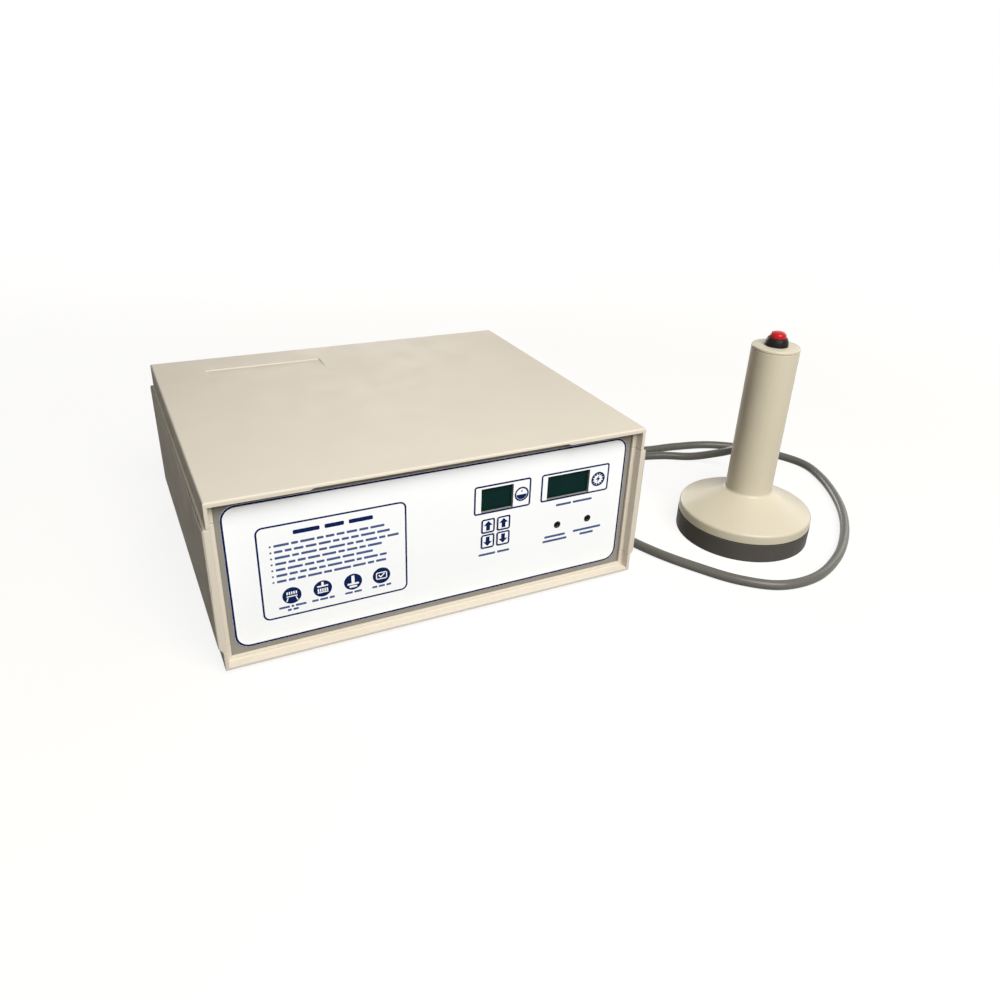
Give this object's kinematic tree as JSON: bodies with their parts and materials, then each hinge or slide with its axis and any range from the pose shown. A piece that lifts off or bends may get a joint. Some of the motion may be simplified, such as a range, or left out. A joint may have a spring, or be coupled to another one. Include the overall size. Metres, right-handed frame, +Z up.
{
  "type": "induction cap sealer",
  "caption": "Bench power unit with a recessed control panel and a hand-held sealing head on a cable, which heats foil liners in bottle caps by induction.",
  "frame": {"origin": "on the bench, below the middle of the box round power unit and sealing head together", "axes": "+Z up, +X from the power unit to the sealing head, -Y the way the control panel faces"},
  "size_m": [0.679, 0.4765, 0.2025],
  "materials": {
    "case_abs": "moulded ABS with a fine satin grain",
    "panel_abs": "smooth satin grey ABS sheet",
    "overlay_film": "satin polyester film with navy print",
    "display_window": "dark tinted acrylic plate",
    "foot_rubber": "matt black rubber",
    "plated_steel": "zinc plated",
    "black_plastic": "moulded black plastic",
    "lamp_lens": "dark red lens, unlit",
    "circuit_board": "green solder mask on glass laminate",
    "sink_aluminium": "extruded aluminium",
    "capacitor_sleeve": "shrink sleeve",
    "capacitor_case": "resin dipped case",
    "ferrite": "sintered ferrite, matt dark grey",
    "copper_wire": "enamelled copper wire",
    "rocker_red": "glossy red plastic",
    "button_red": "glossy red plastic",
    "head_abs": "moulded nylon with a satin surface",
    "base_nylon": "turned dark grey nylon",
    "cable_rubber": "smooth grey cable sheath"
  },
  "bodies": {
    "housings": {"lower_case": "case_abs", "upper_case": "case_abs", "side_panel_left": "case_abs", "side_panel_right": "case_abs", "front_panel": "panel_abs", "rear_panel": "panel_abs", "front_overlay": "overlay_film", "time_window": "display_window", "voltage_window": "display_window", "rubber_feet": "foot_rubber", "case_screws": "plated_steel", "board_spacers": "plated_steel", "board_screws": "plated_steel", "fan_guard": "plated_steel", "fan_screws": "plated_steel", "inlet_pins": "plated_steel", "inlet_screws": "plated_steel", "gland_nut": "plated_steel", "button_nut": "plated_steel", "head_screws": "plated_steel", "time_display": "black_plastic", "voltage_display": "black_plastic", "key_switches": "black_plastic", "power_transistors": "black_plastic", "bridge_rectifier": "black_plastic", "fan_frame": "black_plastic", "rocker_frame": "black_plastic", "fuse_holder": "black_plastic", "mains_inlet": "black_plastic", "output_gland": "black_plastic", "handset_gland": "black_plastic", "button_collar": "black_plastic", "switch_body": "black_plastic", "overheat_lamp": "lamp_lens", "overcurrent_lamp": "lamp_lens", "control_board": "circuit_board", "power_board": "circuit_board", "heat_sink": "sink_aluminium", "filter_capacitors": "capacitor_sleeve", "resonant_capacitor": "capacitor_case", "transformer_core": "ferrite", "ferrite_bars": "ferrite", "transformer_winding": "copper_wire", "induction_coil": "copper_wire", "handset_shell": "head_abs", "end_cap": "head_abs", "coil_base": "base_nylon", "output_cable": "cable_rubber"},
    "fan_rotor": {"fan_rotor": "black_plastic"},
    "power_rocker": {"power_rocker": "rocker_red"},
    "fuse_cap": {"fuse_cap": "black_plastic"},
    "seal_button": {"seal_button": "button_red"},
    "key_tens_up": {"key_tens_up": "overlay_film"},
    "key_units_up": {"key_units_up": "overlay_film"},
    "key_tens_down": {"key_tens_down": "overlay_film"},
    "key_units_down": {"key_units_down": "overlay_film"}
  },
  "joints": [
    {"name": "seal_button_press", "type": "slide", "parent": "housings", "child": "seal_button", "axis": [0, 0, -1], "range_m": [0, 0.0025], "stiffness_N_per_m": 800},
    {"name": "rocker_tilt", "type": "hinge", "parent": "housings", "child": "power_rocker", "pos_m": [-0.0755, 0.1578, 0.096], "axis": [1, 0, 0], "range_deg": [0, 20]},
    {"name": "fan_spin", "type": "hinge", "parent": "housings", "child": "fan_rotor", "pos_m": [-0.1905, 0.1448, 0.072], "axis": [0, 1, 0], "continuous": true},
    {"name": "fuse_cap_turn", "type": "hinge", "parent": "housings", "child": "fuse_cap", "pos_m": [-0.0255, 0.1588, 0.096], "axis": [0, 1, 0], "range_deg": [0, 45]},
    {"name": "key_tens_up_press", "type": "slide", "parent": "housings", "child": "key_tens_up", "axis": [0, 1, 0], "range_m": [0, 0.0004], "stiffness_N_per_m": 3000},
    {"name": "key_units_up_press", "type": "slide", "parent": "housings", "child": "key_units_up", "axis": [0, 1, 0], "range_m": [0, 0.0004], "stiffness_N_per_m": 3000},
    {"name": "key_tens_down_press", "type": "slide", "parent": "housings", "child": "key_tens_down", "axis": [0, 1, 0], "range_m": [0, 0.0004], "stiffness_N_per_m": 3000},
    {"name": "key_units_down_press", "type": "slide", "parent": "housings", "child": "key_units_down", "axis": [0, 1, 0], "range_m": [0, 0.0004], "stiffness_N_per_m": 3000}
  ]
}
